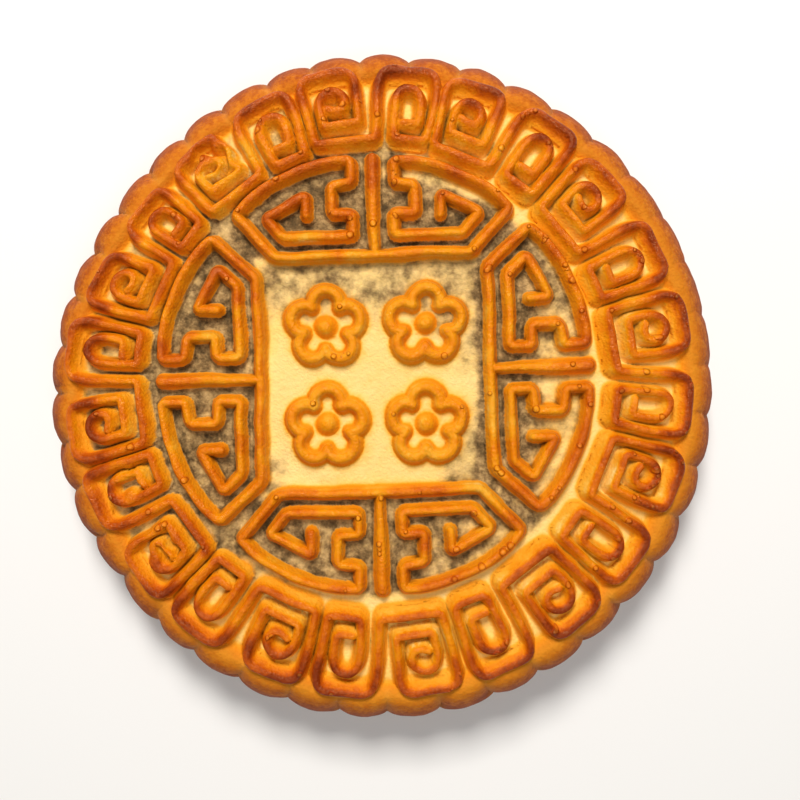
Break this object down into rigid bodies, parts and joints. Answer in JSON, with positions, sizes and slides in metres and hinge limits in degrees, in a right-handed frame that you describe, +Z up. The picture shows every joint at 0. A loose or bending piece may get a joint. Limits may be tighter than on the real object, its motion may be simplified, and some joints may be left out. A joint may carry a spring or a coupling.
{
  "type": "mooncake",
  "caption": "Large round baked mooncake with a fluted wall and a moulded top: a scroll fret ring, fret panels and blossoms in relief on a flat base.",
  "frame": {"origin": "middle of the flat base, on the surface the cake rests on", "axes": "+Z up through the cake; +Y towards the top of the pattern, +X to its right"},
  "size_m": [0.2398, 0.2398, 0.035],
  "materials": {
    "baked_dough": "golden-brown egg-glazed crust, satin, browned on the crests and paler between them"
  },
  "bodies": {
    "root": {"mooncake": "baked_dough"}
  },
  "joints": []
}
